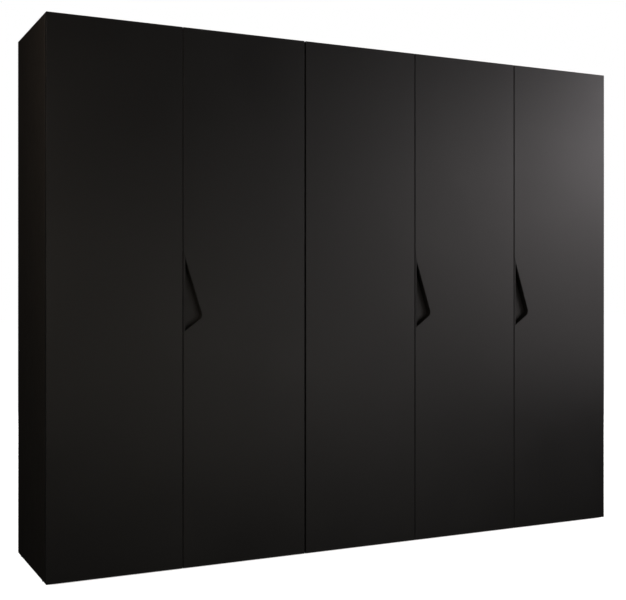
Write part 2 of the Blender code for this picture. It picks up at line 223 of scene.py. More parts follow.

# The edge band of the fronts, seen as a rim of their faces, and the rubbed arris outside it
# The black of the rim and the narrow faces is partly the edge band's own and partly painted shade that
# deepens the joints
EDGE_SHADE_BLACK = (0.0024,) * 3
EDGE_SHADE_BAND = 0.0029
EDGE_RIM = 0.0006
BAND_ROUGHNESS = 0.85
EDGE_ROUGHNESS = 0.30

# How far in the outside finish of the carcass reaches, from its sides, its fronts and its ends
SIDE_SKIN = 0.004
FRONT_SKIN = 0.0004
END_SKIN = 0.002

# Depths behind a door's face between which the floor of a grip lies, greyed there as painted light
GRIP_FLOOR_SPAN = (0.012, 0.060)

# Threads of the linen laminate to the metre, the stretch that is printed, and how strongly
LINEN_SCALE = 150.0
LINEN_SPAN = (0.2, 0.8)
LINEN_SHARE = 0.85

# Studio. The floor's own glow fades to this much underneath the cabinet, as a painted shadow, over this
# far in from its edges.
FLOOR_REACH = 30.0
FLOOR_CELLS = 8
PAINTED_SHADOW_GLOW = 0.03
PAINTED_SHADOW_FADE = 0.035
DIM_WORLD = 0.012
LIGHT_TARGET = Vector((0.0, -0.25, 1.0))

# Name, place, watts, size and colour of each softbox
SOFTBOXES = (
    ("key", (5.2, -3.2, 2.6), 63.0, 1.0, (1.0, 0.935, 0.965)),
    ("far_right", (4.6, -6.5, 2.2), 19.0, 1.5, (1.0, 0.94, 0.93)),
    ("right_fill", (2.4, -1.6, 1.2), 5.5, 1.5, (1.0, 0.93, 0.93)),
    ("right_low", (2.4, -4.6, 0.4), 5.6, 1.5, (1.0, 0.935, 0.90)),
    ("low_fill", (1.0, -5.5, 0.4), 4.4, 1.5, (1.0, 0.925, 0.80)),
    ("left_fill", (-4.0, -2.5, 1.0), 11.0, 1.5, (1.0, 0.91, 0.76)),
    ("left_near_low", (-1.9, -1.6, 1.2), 7.0, 0.8, (1.0, 0.86, 0.70)),
    ("left_near_high", (-2.0, -0.7, 2.0), 5.1, 0.8, (1.0, 0.78, 0.62)),
    ("rear", (0.4, 4.6, 2.2), 210.0, 2.0, (1.0, 0.99, 0.98)),
    ("right_rear", (4.4, 1.8, 2.0), 75.0, 1.6, (1.0, 0.99, 0.98)),
    ("overhead", (0.0, 0.9, 4.2), 36.0, 1.6, (1.0, 0.99, 0.98)),
    ("polarised_front", (-0.6, -5.5, 1.7), 180.0, 2.4, (1.0, 0.95, 0.88)),
)

# Camera, at the photograph's angle
CAMERA_PLACE = (-2.0430, -3.9628, 1.0316)
CAMERA_YAW = math.radians(26.228)
CAMERA_LENS = 60.84
CAMERA_SHIFT = -0.01633


# ---- Materials ----


def add_node(tree, kind, inputs, **settings):
    """Make a node. An input given as a socket is linked, and any other value is set."""
    node = tree.nodes.new(kind)
    for key, value in settings.items():
        setattr(node, key, value)
    for key, value in inputs.items():
        if isinstance(value, bpy.types.NodeSocket):
            tree.links.new(value, node.inputs[key])
        else:
            node.inputs[key].default_value = value
    return node


def noise(tree, vector, scale, detail=3.0, rough=0.5):
    inputs = {"Vector": vector, "Scale": scale, "Detail": detail, "Roughness": rough}
    return add_node(tree, "ShaderNodeTexNoise", inputs).outputs["Fac"]


def remap(tree, value, start, end, low=0.0, high=1.0):
    """Carry a value from one range to another, held at the ends."""
    inputs = {"Value": value, "From Min": start, "From Max": end, "To Min": low, "To Max": high}
    return add_node(tree, "ShaderNodeMapRange", inputs).outputs["Result"]


def math_node(tree, operation, first, second):
    return add_node(tree, "ShaderNodeMath", {0: first, 1: second}, operation=operation).outputs[0]


def blend_colors(tree, factor, first, second):
    """The first colour where the factor is 0, the second where it is 1. Each is a socket or a value."""
    inputs = {MIX_FACTOR: factor}
    for socket, color in ((MIX_FIRST, first), (MIX_SECOND, second)):
        inputs[socket] = color if isinstance(color, bpy.types.NodeSocket) else (*color, 1.0)
    return add_node(tree, "ShaderNodeMix", inputs, data_type="RGBA").outputs[MIX_RESULT]


def stretched(tree, vector, scale):
    return add_node(tree, "ShaderNodeMapping", {"Vector": vector, "Scale": scale}).outputs["Vector"]


class Surface:
    """One material being built: mottled colour, uneven gloss and a grain, in the piece's own metres."""

    def __init__(self, name, dark, light, roughness, metallic=0.0, mottle=9.0):
        self.material = bpy.data.materials.new(name)
        self.material.use_nodes = True
        self.tree = self.material.node_tree
        self.shader = self.tree.nodes["Principled BSDF"]
        self.shader.inputs["Metallic"].default_value = metallic
        self.coords = self.tree.nodes.new("ShaderNodeTexCoord")
        self.place = self.coords.outputs["Object"]
        clouds = remap(self.tree, noise(self.tree, self.place, mottle, 5.0), *NOISE_SPAN)
        self.color = blend_colors(self.tree, clouds, dark, light)
        finer = noise(self.tree, self.place, mottle * GLOSS_FINER, 4.0, 0.6)
        self.gloss = remap(self.tree, finer, *NOISE_SPAN, *roughness)
        self.height = None

    def patches(self, scale, span, most, detail=3.0, rough=0.5):
        """Scattered patches: 0 where the noise is below the span, and this much where it is above."""
        return remap(self.tree, noise(self.tree, self.place, scale, detail, rough), *span, 0.0, most)

    def raise_by(self, pattern, depth):
        """Add a pattern, as a height in metres, to the surface."""
        step = math_node(self.tree, "MULTIPLY", pattern, depth)
        self.height = step if self.height is None else math_node(self.tree, "ADD", self.height, step)

    def grain(self, scale, depth, detail=2.0, stretch=(1.0, 1.0, 1.0)):
        vector = stretched(self.tree, self.place, stretch)
        self.raise_by(noise(self.tree, vector, scale, detail), depth)

    def tint(self, factor, color):
        self.color = blend_colors(self.tree, factor, self.color, color)

    def dull(self, factor, roughness):
        """Bring the gloss to another roughness where the factor is 1."""
        inputs = {"Factor": factor, "A": self.gloss, "B": roughness}
        self.gloss = add_node(self.tree, "ShaderNodeMix", inputs).outputs["Result"]

    def done(self):
        links = self.tree.links
        links.new(self.color, self.shader.inputs["Base Color"])
        links.new(self.gloss, self.shader.inputs["Roughness"])
        if self.height is not None:
            inputs = {"Height": self.height, "Strength": 1.0, "Distance": 1.0}
            bump = add_node(self.tree, "ShaderNodeBump", inputs)
            links.new(bump.outputs["Normal"], self.shader.inputs["Normal"])
        return self.material


def edge_nearness(surface, sizes, width):
    """1 at the outer edges of a board's face and 0 a width away, from the box of the piece itself."""
    tree = surface.tree
    split = add_node(tree, "ShaderNodeSeparateXYZ", {"Vector": surface.coords.outputs["Generated"]})
    nearest = None
    for axis, size in sizes:
        centred = math_node(tree, "SUBTRACT", split.outputs[axis], 0.5)
        inward = math_node(tree, "SUBTRACT", 0.5, math_node(tree, "ABSOLUTE", centred, 0.0))
        distance = math_node(tree, "MULTIPLY", inward, size)
        nearest = distance if nearest is None else math_node(tree, "MINIMUM", nearest, distance)
    return remap(tree, nearest, width, 0.0)


def facing_share(surface, axis, sign=1):
    """1 on faces that point along an axis, in the piece's own directions, and 0 on the others."""
    split = add_node(surface.tree, "ShaderNodeSeparateXYZ", {"Vector": surface.coords.outputs["Normal"]})
    start, end = FACING_SPAN
    return remap(surface.tree, split.outputs[axis], sign * start, sign * end)


def within(surface, limits):
    """1 where every named coordinate lies between its two limits, and 0 elsewhere."""
    tree = surface.tree
    split = add_node(tree, "ShaderNodeSeparateXYZ", {"Vector": surface.place})
    share = None
    for axis, (low, high) in limits.items():
        above = math_node(tree, "GREATER_THAN", split.outputs[axis], low)
        below = math_node(tree, "LESS_THAN", split.outputs[axis], high)
        both = math_node(tree, "MULTIPLY", above, below)
        share = both if share is None else math_node(tree, "MULTIPLY", share, both)
    return share


def front_laminate():
    """Satin black melamine with a fine pearl that only softens the gloss, and a matt edge band, partly
    painted shade.
    """
    surface = Surface("front_laminate", *FRONT_BLACK, (0.355, 0.395), mottle=2.6)
    surface.tint(surface.patches(1900.0, (0.66, 0.74), 0.5, 1.0), (0.015,) * 3)
    low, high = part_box("door_1")
    face = ((X_AXIS, high.x - low.x), (Z_AXIS, high.z - low.z))
    # Painted shade, with the real edge band: a near-black rim round each face that darkens the joints
    # between the doors
    band_shade = edge_nearness(surface, face, EDGE_SHADE_BAND)
    surface.tint(band_shade, EDGE_SHADE_BLACK)
    surface.dull(band_shade, BAND_ROUGHNESS)
    # The narrow faces get the same black, as painted shade in the gaps between the doors besides their
    # own edge band
    for axis in (X_AXIS, Z_AXIS):
        for sign in (1, -1):
            narrow = facing_share(surface, axis, sign)
            surface.tint(narrow, EDGE_SHADE_BLACK)
            surface.dull(narrow, EDGE_ROUGHNESS)
    rim = edge_nearness(surface, face, EDGE_RIM)
    rubbed = surface.patches(38.0, (0.56, 0.70), 0.7, 6.0, 0.65)
    surface.tint(math_node(surface.tree, "MULTIPLY", rim, rubbed), (0.013, 0.013, 0.012))
    surface.grain(800.0, 0.000032)
    surface.grain(60.0, 0.00006, 1.0)
    return surface.done()


def linen_weave(surface):
    """The pressed weave of a linen laminate, from 0 to 1. A board's face shows two of its threads."""
    weave = None
    inputs = {
        "Vector": surface.place,
        "Scale": LINEN_SCALE,
        "Distortion": 1.6,
        "Detail": 2.0,
        "Detail Scale": 1.5,
    }
    directions = ("X", "Y", "Z")
    for direction in directions:
        wave = add_node(surface.tree, "ShaderNodeTexWave", inputs, bands_direction=direction)
        thread = math_node(surface.tree, "DIVIDE", wave.outputs["Fac"], len(directions))
        weave = thread if weave is None else math_node(surface.tree, "ADD", weave, thread)
    return weave


def linen_threads(surface, weave):
    """The printed colours of the weave."""
    return blend_colors(surface.tree, remap(surface.tree, weave, *LINEN_SPAN), LINEN_DARK, LINEN_LIGHT)


def carcass_laminate():
    """Warm matt black outside with the small hammer grain of carcass board, linen anthracite inside."""
    surface = Surface("carcass_laminate", *CARCASS_BLACK, (0.52, 0.59))
    low, high = cad_box
    limits = {
        "X": (low.x + SIDE_SKIN, high.x - SIDE_SKIN),
        "Y": (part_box("left_unit_outer_side")[0].y + FRONT_SKIN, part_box("left_unit_back")[1].y),
        "Z": (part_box("left_unit_bottom")[0].z + END_SKIN, high.z - END_SKIN),
    }
    inside = within(surface, limits)
    weave = linen_weave(surface)
    surface.tint(inside, linen_threads(surface, weave))
    surface.grain(420.0, 0.00003, 3.0)
    surface.raise_by(math_node(surface.tree, "MULTIPLY", weave, inside), 0.00005)
    surface.grain(40.0, 0.00004, 1.0)
    return surface.done()


def shelf_laminate():
    """Anthracite melamine printed and pressed with a linen weave, unprinted on its front edge."""
    surface = Surface("shelf_laminate", *LINEN_PLAIN, (0.50, 0.62), mottle=24.0)
    weave = linen_weave(surface)
    edge = facing_share(surface, Y_AXIS, -1)
    printed = math_node(surface.tree, "SUBTRACT", LINEN_SHARE, edge)
    surface.tint(printed, linen_threads(surface, weave))
    surface.raise_by(weave, 0.00006)
    return surface.done()


def back_board():
    """Thin fibreboard: the linen print on dull paint inside, raw brown fibres on the rear."""
    surface = Surface("back_board", *LINEN_PLAIN, (0.70, 0.82), mottle=12.0)
    tree = surface.tree
    weave = remap(tree, linen_weave(surface), *LINEN_SPAN, 0.0, LINEN_SHARE)
    surface.tint(weave, blend_colors(tree, weave, LINEN_DARK, LINEN_LIGHT))
    lengthways = stretched(tree, surface.place, (1.0, 1.0, 0.35))
    fibres = remap(tree, noise(tree, lengthways, 340.0, 6.0, 0.7), 0.35, 0.68)
    stains = surface.patches(5.0, (0.35, 0.7), 0.45, 4.0)
    raw = blend_colors(tree, stains, blend_colors(tree, fibres, *RAW_FIBRES), (0.085, 0.055, 0.036))
    surface.tint(facing_share(surface, Y_AXIS), raw)
    surface.grain(620.0, 0.00005, 4.0)
    return surface.done()


def grip_moulding():
    """Black moulding with a spark-eroded grain: a smoother floor greyed as painted light, polished where
    fingers go.
    """
    surface = Surface("grip_moulding", *GRIP_BLACK, (0.58, 0.66), mottle=14.0)
    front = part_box("door_2")[0].y
    sunk = within(surface, {"Y": [front + depth for depth in GRIP_FLOOR_SPAN]})
    # Painted light: the floor of the grip, facing the front, is tinted greyer than the black walls around
    # it
    floor = math_node(surface.tree, "MULTIPLY", facing_share(surface, Y_AXIS, -1), sunk)
    surface.tint(floor, GRIP_FLOOR_PAINTED_LIGHT)
    surface.dull(floor, 0.43)
    surface.grain(1500.0, 0.000016)
    surface.grain(300.0, 0.000020)
    surface.dull(surface.patches(55.0, (0.56, 0.70), 0.5, 5.0, 0.6), 0.33)
    return surface.done()


def hinge_steel():
    """Nickel-plated pressed steel: drawing lines, soft clouds and a few small dull spots."""
    surface = Surface("hinge_steel", *NICKEL, (0.24, 0.36), metallic=1.0, mottle=90.0)
    surface.grain(900.0, 0.00001, stretch=(1.0, 0.06, 1.0))
    spots = surface.patches(260.0, (0.64, 0.76), 0.35, rough=0.7)
    surface.tint(spots, (0.34, 0.32, 0.29))
    surface.dull(spots, 0.55)
    return surface.done()


def rail_chrome():
    """Chromed tube, finely scratched along its top where hangers slide."""
    surface = Surface("rail_chrome", *CHROME, (0.08, 0.13), metallic=1.0, mottle=30.0)
    tree = surface.tree
    along = stretched(tree, surface.place, (0.04, 1.0, 1.0))
    lines = remap(tree, noise(tree, along, 2600.0), 0.48, 0.62)
    scratched = math_node(tree, "MULTIPLY", facing_share(surface, Z_AXIS), lines)
    surface.dull(scratched, 0.34)
    surface.raise_by(scratched, -0.000006)
    return surface.done()


def plastic(name, dark, light, roughness, grain):
    surface = Surface(name, dark, light, roughness, mottle=120.0)
    surface.grain(1200.0, grain)
    return surface.done()


def raw_chipboard():
    """The pale broken chips seen inside a drilled hole."""
    surface = Surface("raw_chipboard", *RAW_CHIPS, (0.82, 0.92), mottle=160.0)
    inputs = {"Vector": surface.place, "Scale": 900.0}
    chips = add_node(surface.tree, "ShaderNodeTexVoronoi", inputs).outputs["Distance"]
    surface.tint(remap(surface.tree, chips, 0.2, 0.7), (0.16, 0.10, 0.06))
    surface.raise_by(chips, 0.0003)
    return surface.done()


def make_materials():
    return {
        "front_laminate": front_laminate(),
        "carcass_laminate": carcass_laminate(),
        "shelf_laminate": shelf_laminate(),
        "back_board": back_board(),
        "grip_moulding": grip_moulding(),
        "hinge_steel": hinge_steel(),
        "rail_chrome": rail_chrome(),
        "glide_plastic": plastic("glide_plastic", (0.022,) * 3, (0.034,) * 3, (0.44, 0.54), 0.00002),
        "cap_plastic": plastic("cap_plastic", (0.016,) * 3, (0.024,) * 3, (0.38, 0.46), 0.00001),
        "silicone": plastic("silicone", (0.42, 0.43, 0.43), (0.52, 0.53, 0.53), (0.22, 0.30), 0.00001),
        "raw_chipboard": raw_chipboard(),
    }


# ---- Mesh helpers ----


def finish_mesh(name, bm):
    """Turn a bmesh into a mesh whose faces all point out."""
    bmesh.ops.recalc_face_normals(bm, faces=bm.faces)
    mesh = bpy.data.meshes.new(name)
    bm.to_mesh(mesh)
    bm.free()
    return mesh


def smooth(mesh):
    mesh.shade_smooth()
    mesh.set_sharp_from_angle(angle=SHARP_ANGLE)
    return mesh


def prism(name, outline, axis, low, high):
    """Extrude an outline along an axis. Its pairs lie on the other two axes, in X, Y, Z order."""
    bm = bmesh.new()
    ends = []
    for level in (low, high):
        ring = []
        for first, second in outline:
            point = [first, second]
            point.insert(axis, level)
            ring.append(bm.verts.new(point))
        ends.append(ring)
        bm.faces.new(ring)
    for index in range(len(outline)):
        after = (index + 1) % len(outline)
        bm.faces.new((ends[0][index], ends[0][after], ends[1][after], ends[1][index]))
    return finish_mesh(name, bm)


def turned(name, profile, axis, steps=24):
    """Turn (radius, height) pairs about an axis. An end at radius 0 closes in a point, others flat."""
    bm = bmesh.new()
    rings = []
    for radius, height in profile:
        count = steps if radius > 0 else 1
        ring = []
        for step in range(count):
            angle = math.tau * step / steps
            point = [radius * math.cos(angle), radius * math.sin(angle)]
            point.insert(axis, height)
            ring.append(bm.verts.new(point))
        rings.append(ring)
    for ring, following in zip(rings, rings[1:]):
        for step in range(steps):
            after = (step + 1) % steps
            corners = [ring[step % len(ring)], ring[after % len(ring)]]
            corners += [following[after % len(following)], following[step % len(following)]]
            bm.faces.new(list(dict.fromkeys(corners)))
    for ring in (rings[0], rings[-1]):
        if len(ring) > 2:
            bm.faces.new(ring)
    return smooth(finish_mesh(name, bm))


def rounded_rectangle(width, tall, corner, steps=5):
    """Outline centred on the origin."""
    outline = []
    for index, (side, end) in enumerate(((1, 1), (-1, 1), (-1, -1), (1, -1))):
        for step in range(steps + 1):
            angle = (index + step / steps) * math.pi / 2
            across = side * (width / 2 - corner) + corner * math.cos(angle)
            along = end * (tall / 2 - corner) + corner * math.sin(angle)
            outline.append((across, along))
    return outline


def dome(radius, tall):
    """Profile of a flat-bottomed dome with a short upright rim, as (radius, height) pairs."""
    profile = [(radius, 0.0)]
    for step in range(DOME_STEPS):
        angle = step / DOME_STEPS * math.pi / 2
        height = tall * (DOME_RIM + (1 - DOME_RIM) * math.sin(angle))
        profile.append((radius * math.cos(angle), height))
    profile.append((0.0, tall))
    return profile


def loose_object(name, data):
    """An object in the scene that rides on nothing yet."""
    obj = bpy.data.objects.new(name, data)
    bpy.context.scene.collection.objects.link(obj)
    return obj


def mesh_after_modifiers(obj):
    evaluated = obj.evaluated_get(bpy.context.evaluated_depsgraph_get())
    return bpy.data.meshes.new_from_object(evaluated)


def combine(first, second, operation):
    """The Boolean of two meshes as a new mesh, with both used up."""
    base = loose_object("base", first)
    tool = loose_object("tool", second)
    modifier = base.modifiers.new("combine", "BOOLEAN")
    modifier.operation = operation
    modifier.solver = "EXACT"
    modifier.object = tool
    mesh = mesh_after_modifiers(base)
    for obj in (base, tool):
        bpy.data.objects.remove(obj)
    for used in (first, second):
        bpy.data.meshes.remove(used)
    return mesh


def rounded(mesh, width):
    """The mesh with its sharp edges rounded over."""
    obj = loose_object("rounding", mesh)
    bevel = obj.modifiers.new("edges", "BEVEL")
    bevel.width = width
    bevel.segments = ROUNDING_STEPS
    bevel.limit_method = "ANGLE"
    result = mesh_after_modifiers(obj)
    bpy.data.objects.remove(obj)
    bpy.data.meshes.remove(mesh)
    return smooth(result)


def joined(name, items):
    """One mesh from (mesh, matrix, material) rows. The meshes given stay as they are."""
    bm = bmesh.new()
    materials = []
    for mesh, matrix, material in items:
        part = mesh.copy()
        part.transform(matrix)
        if matrix.determinant() < 0:
            part.flip_normals()
        known = len(bm.faces)
        bm.from_mesh(part)
        bpy.data.meshes.remove(part)
        if material not in materials:
            materials.append(material)
        bm.faces.ensure_lookup_table()
        for face in bm.faces[known:]:
            face.material_index = materials.index(material)
    mesh = bpy.data.meshes.new(name)
    bm.to_mesh(mesh)
    bm.free()
    for material in materials:
        mesh.materials.append(material)
    return mesh


def at(x, y, z):
    return Matrix.Translation((x, y, z))


def facing(direction):
    """Turn a piece drawn standing on local Z so that it stands on a face with this outward direction."""
    return Vector(direction).to_track_quat("Z", "Y").to_matrix().to_4x4()


def mirrored(sign):
    """No change where the sign is 1, and a reflection in X where it is -1."""
    return Matrix.Diagonal((sign, 1, 1, 1))


def end_face(node, sign):
    """X of a node's outermost face towards +X, or towards -X where the sign is -1."""
    low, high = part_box(node)
    return high.x if sign > 0 else low.x


def add_piece(name, mesh, body, place=(0.0, 0.0, 0.0)):
    """Put a piece in the scene, riding on a body."""
    piece = loose_object(name, mesh)
    piece.location = place
    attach(piece, body)


# ---- Screws and hinges ----


def screw_mesh(radius, tall):
    """A domed head with a crossed recess, standing on local Z."""
    arm = 0.16 * radius
    reach = 0.62 * radius
    cross = []
    for quarter in range(4):
        turn = Matrix.Rotation(quarter * math.pi / 2, 2)
        cross += [tuple(turn @ Vector(point)) for point in ((reach, -arm), (reach, arm), (arm, arm))]
    recess = prism("recess", cross, Z_AXIS, 0.35 * tall, tall + FAR)
    return smooth(combine(turned("screw", dome(radius, tall), Z_AXIS, 20), recess, "DIFFERENCE"))


def arm_mesh(base):
    """The pressed channel from the mounting plate to the cup, whose foot is this far from the edge."""
    top = base + ARM_DEEP
    outline = (
        (NOSE_LOW, NOSE_TIP),
        (NOSE_LOW, NOSE_BACK),
        (base, FOOT_START),
        (base, ARM_END - 0.002),
        (base + 0.002, ARM_END),
        (base + 0.009, ARM_END),
        (top - 0.0005, ARM_END - 0.004),
        (top, SHOULDER),
        (BROW, BROW_BACK),
        (NOSE_HIGH, NOSE_CREST),
        (NOSE_HIGH - 0.002, NOSE_TIP + 0.002),
        (NOSE_HIGH - 0.006, NOSE_TIP),
    )
    hollow = (
        (NOSE_LOW - 0.006, NOSE_TIP - FAR),
        (NOSE_LOW - 0.006, NOSE_BACK),
        (base - 0.004, FOOT_START),
        (base - 0.004, ARM_END + FAR),
        (top - SHEET, ARM_END + FAR),
        (top - SHEET, SHOULDER),
        (BROW - SHEET, BROW_BACK - 0.0005),
        (NOSE_HIGH - SHEET, NOSE_CREST),
        (NOSE_HIGH - 0.003, NOSE_TIP + 0.003),
        (NOSE_HIGH - 0.0045, NOSE_TIP - FAR),
    )
    shapes = []
    for profile, wall in ((outline, 0.0), (hollow, SHEET)):
        narrow = NOSE_HALF - wall
        wide = ARM_HALF - wall
        plan = [(-FAR, -narrow), (FLARE_START, -narrow), (FLARE_END, -wide), (ARM_END + 2 * FAR, -wide)]
        plan += [(depth, -height) for depth, height in reversed(plan)]
        side = prism("side", profile, Z_AXIS, -2 * ARM_HALF, 2 * ARM_HALF)
        shapes.append(combine(side, prism("plan", plan, X_AXIS, -FAR, ARM_CLEAR), "INTERSECT"))
    return rounded(combine(*shapes, "DIFFERENCE"), ROUNDING)


def rivet_mesh():
    head = RIVET_RADIUS - 0.0004
    stand = NOSE_HALF + RIVET_STAND
    profile = ((head, -stand), (RIVET_RADIUS, -NOSE_HALF), (RIVET_RADIUS, NOSE_HALF), (head, stand))
    return turned("rivet", profile, Z_AXIS, 16)


def clip_mesh(base):
    """The release lever behind the arm."""
    outline = (
        (base + 0.003, CLIP_START),
        (base + 0.003, CLIP_END - 0.001),
        (base + 0.006, CLIP_END),
        (base + 0.0095, CLIP_START),
    )
    return rounded(prism("clip", outline, Z_AXIS, -CLIP_HALF, CLIP_HALF), 0.0005)


def make_hinge_arm(number, base, screw, steel):
    """The arm with its two adjusting screws, its rear clip and the rivets through its nose."""
    top = base + ARM_DEEP
    outward = facing((1, 0, 0))
    rivet = rivet_mesh()
    items = [
        (arm_mesh(base), Matrix.Identity(4), steel),
        (screw, at(top, ADJUSTER_PLACES[0], 0) @ outward, steel),
        (screw, at(top - ADJUSTER_SINK, ADJUSTER_PLACES[1], 0) @ outward, steel),
    ]
    items += [(rivet, at(*place, 0), steel) for place in RIVET_PLACES]
    items.append((clip_mesh(base), Matrix.Identity(4), steel))
    return joined(f"hinge_arm_{number}", items)


def make_hinge_plate(number, face, screw, steel):
    """The mounting plate on the board: two screwed wings and the saddle that the arm straddles."""
    wing_outline = rounded_rectangle(WING_WIDE, WING_TALL, WING_WIDE / 2 - 0.0001)
    wing = prism("wing", wing_outline, X_AXIS, face, face + PLATE_THICK)
    saddle_outline = (
        (SADDLE_START, -SADDLE_HALF),
        (SADDLE_END - 0.002, -SADDLE_HALF),
        (SADDLE_END, 0.003 - SADDLE_HALF),
        (SADDLE_END, SADDLE_HALF - 0.003),
        (SADDLE_END - 0.002, SADDLE_HALF),
        (SADDLE_START, SADDLE_HALF),
    )
    saddle = prism("saddle", saddle_outline, X_AXIS, face, face + PLATE_LIFT + SADDLE_TALL)
    boss_profile = (
        (BOSS_RADIUS, face),
        (BOSS_RADIUS, face + BOSS_TALL - 0.0006),
        (BOSS_RADIUS - 0.0007, face + BOSS_TALL),
    )
    boss = turned("boss", boss_profile, X_AXIS)
    items = [
        (rounded(wing, ROUNDING), at(0, PLATE_BACK, 0), steel),
        (rounded(saddle, 0.0006), Matrix.Identity(4), steel),
    ]
    for side in (-1, 1):
        height = side * PLATE_SCREW_PITCH
        items.append((boss, at(0, PLATE_BACK, height), steel))
        items.append((screw, at(face + BOSS_TALL, PLATE_BACK, height) @ facing((1, 0, 0)), steel))
    return joined(f"hinge_plate_{number}", items)


def make_cup_fittings(number, screw, flange_back, steel):
    """What the door carries besides the cup: its two screws and the pin that the link turns on."""
    pin = turned("pin", ((PIN_RADIUS, -PIN_HALF), (PIN_RADIUS, PIN_HALF)), Z_AXIS, 14)
    items = [(pin, at(LINK_U, LINK_END, 0), steel)]
    for side in (-1, 1):
        place = at(CUP_SCREW_U, flange_back, side * CUP_SCREW_OFFSET)
        items.append((screw, place @ facing((0, 1, 0)), steel))
    return joined(f"cup_fittings_{number}", items)


def link_mesh(name, mirror, place, steel):
    """A pressed channel from the nose into the cup, drawn as a run of close rings."""
    inner = LINK_HALF_TALL - LINK_WALL
    web = LINK_WALL - LINK_HALF_WIDE
    half = ((LINK_HALF_WIDE, LINK_HALF_TALL), (LINK_HALF_WIDE, inner), (web, inner))
    section = [(-LINK_HALF_WIDE, -LINK_HALF_TALL)]
    section += [(across, -along) for across, along in half]
    section += reversed(half)
    section.append((-LINK_HALF_WIDE, LINK_HALF_TALL))
    bm = bmesh.new()
    rings = []
    for index in range(LINK_RINGS + 1):
        depth = LINK_BACK + (LINK_END - LINK_PAST - LINK_BACK) * index / LINK_RINGS
        rings.append([bm.verts.new((LINK_U + across, depth, along)) for across, along in section])
    for ring, following in zip(rings, rings[1:]):
        for index in range(len(section)):
            after = (index + 1) % len(section)
            bm.faces.new((ring[index], ring[after], following[after], following[index]))
    bm.faces.new(rings[0])
    bm.faces.new(rings[-1])
    bm.transform(at(*place) @ mirror)
    mesh = finish_mesh(name, bm)
    mesh.materials.append(steel)
    return smooth(mesh)


def make_hinge_set(number, carrier, toward, screw, steel):
    """The three hinges of one door."""
    door = f"door_{number}"
    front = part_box(door)[0].y
    edge = end_face(door, -toward)
    face = toward * (end_face(carrier, toward) - edge)
    flange_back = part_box(f"hinge_cup_{number}_low")[1].y - front
    mirror = mirrored(toward)
    kinds = (
        ("hinge_arm", make_hinge_arm(number, face + PLATE_LIFT, screw, steel), "carcass"),
        ("hinge_plate", make_hinge_plate(number, face, screw, steel), "carcass"),
        ("cup_fittings", make_cup_fittings(number, screw, flange_back, steel), door),
    )
    for kind, mesh, body in kinds:
        mesh.transform(mirror)
        if toward < 0:
            mesh.flip_normals()
    for level in LEVELS:
        cup_low, cup_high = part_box(f"hinge_cup_{number}_{level}")
        place = Vector((edge, front, (cup_low.z + cup_high.z) / 2))
        for kind, mesh, body in kinds:
            add_piece(f"{kind}_{number}_{level}", mesh, body, place)
        name = f"hinge_link_{number}_{level}"
        link = loose_object(name, link_mesh(name, mirror, place, steel))
        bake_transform(link)


def make_hinges(materials, screw):
    for number, (carrier, toward) in HINGE_BOARDS.items():
        make_hinge_set(number, carrier, toward, screw, materials["hinge_steel"])


# ---- Shelves, fittings and covers ----


def shelf_pin_mesh(steel):
    """A peg with a collar, the small tongue that the shelf rests on, and the web under the tongue."""
    peg_profile = (
        (PEG_RADIUS, -0.008),
        (PEG_RADIUS, 0.0),
        (PEG_COLLAR, 0.0),
        (PEG_COLLAR, 0.0012),
        (PEG_COLLAR - 0.0015, 0.0016),
    )
    rectangle = rounded_rectangle(TONGUE_REACH, TONGUE_WIDE, 0.003, 3)
    tongue_outline = [(x + TONGUE_REACH / 2, y) for x, y in rectangle]
    tongue = prism("tongue", tongue_outline, Z_AXIS, TONGUE_BOTTOM, TONGUE_TOP)
    web_top = TONGUE_BOTTOM + 0.0005
    web_outline = ((0.0, -0.003), (0.0, web_top), (TONGUE_REACH - 0.0015, web_top))
    web = prism("web", web_outline, Y_AXIS, -WEB_HALF, WEB_HALF)
    upright = Matrix.Identity(4)
    items = [
        (turned("peg", peg_profile, X_AXIS), upright, steel),
        (rounded(tongue, ROUNDING), upright, steel),
        (rounded(web, 0.0003), upright, steel),
    ]
    return joined("shelf_pin", items)


def make_shelf_pins(materials):
    """Four plated pegs under each loose shelf, and spare holes above and below each of them."""
    steel = materials["hinge_steel"]
    chips = materials["raw_chipboard"]
    pin = shelf_pin_mesh(steel)
    heights = [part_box(f"shelf_{index}")[0].z - PEG_DROP for index in range(1, SHELF_COUNT + 1)]
    drill_profile = ((SHELF_HOLE_RADIUS, -SHELF_HOLE_DEPTH), (SHELF_HOLE_RADIUS, FAR))
    drill = turned("drill", drill_profile, X_AXIS, 14)
    sheet_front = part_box("right_unit_back_narrow")[0].y
    boards = (("right_unit_partition", 1, "left"), ("right_unit_outer_side", -1, "right"))
    for board, inward, side in boards:
        face = end_face(board, inward)
        rows = (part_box(board)[0].y + SHELF_HOLE_INSET, sheet_front - SHELF_HOLE_INSET)
        mirror = mirrored(inward)
        for index, height in enumerate(heights, start=1):
            items = [(pin, at(face, y, height) @ mirror, steel) for y in rows]
            add_piece(f"shelf_pins_{index}_{side}", joined("shelf_pins", items), "carcass")

        holes = []
        for height in heights:
            for y in rows:
                for step in range(-SPARE_HOLES, SPARE_HOLES + 1):
                    place = at(face, y, height + step * SHELF_HOLE_PITCH) @ mirror
                    holes.append((drill, place, chips))
        drill_board(board, joined("shelf_holes", holes))


def drill_board(node, holes):
    """Take holes out of a CAD board with a modifier. The cutter itself is never shown."""
    cutter = loose_object(f"{node}_holes", holes)
    cutter.hide_render = True
    cutter.hide_viewport = True
    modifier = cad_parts[node].modifiers.new("holes", "BOOLEAN")
    modifier.operation = "DIFFERENCE"
    modifier.solver = "EXACT"
    modifier.material_mode = "TRANSFER"
    modifier.object = cutter


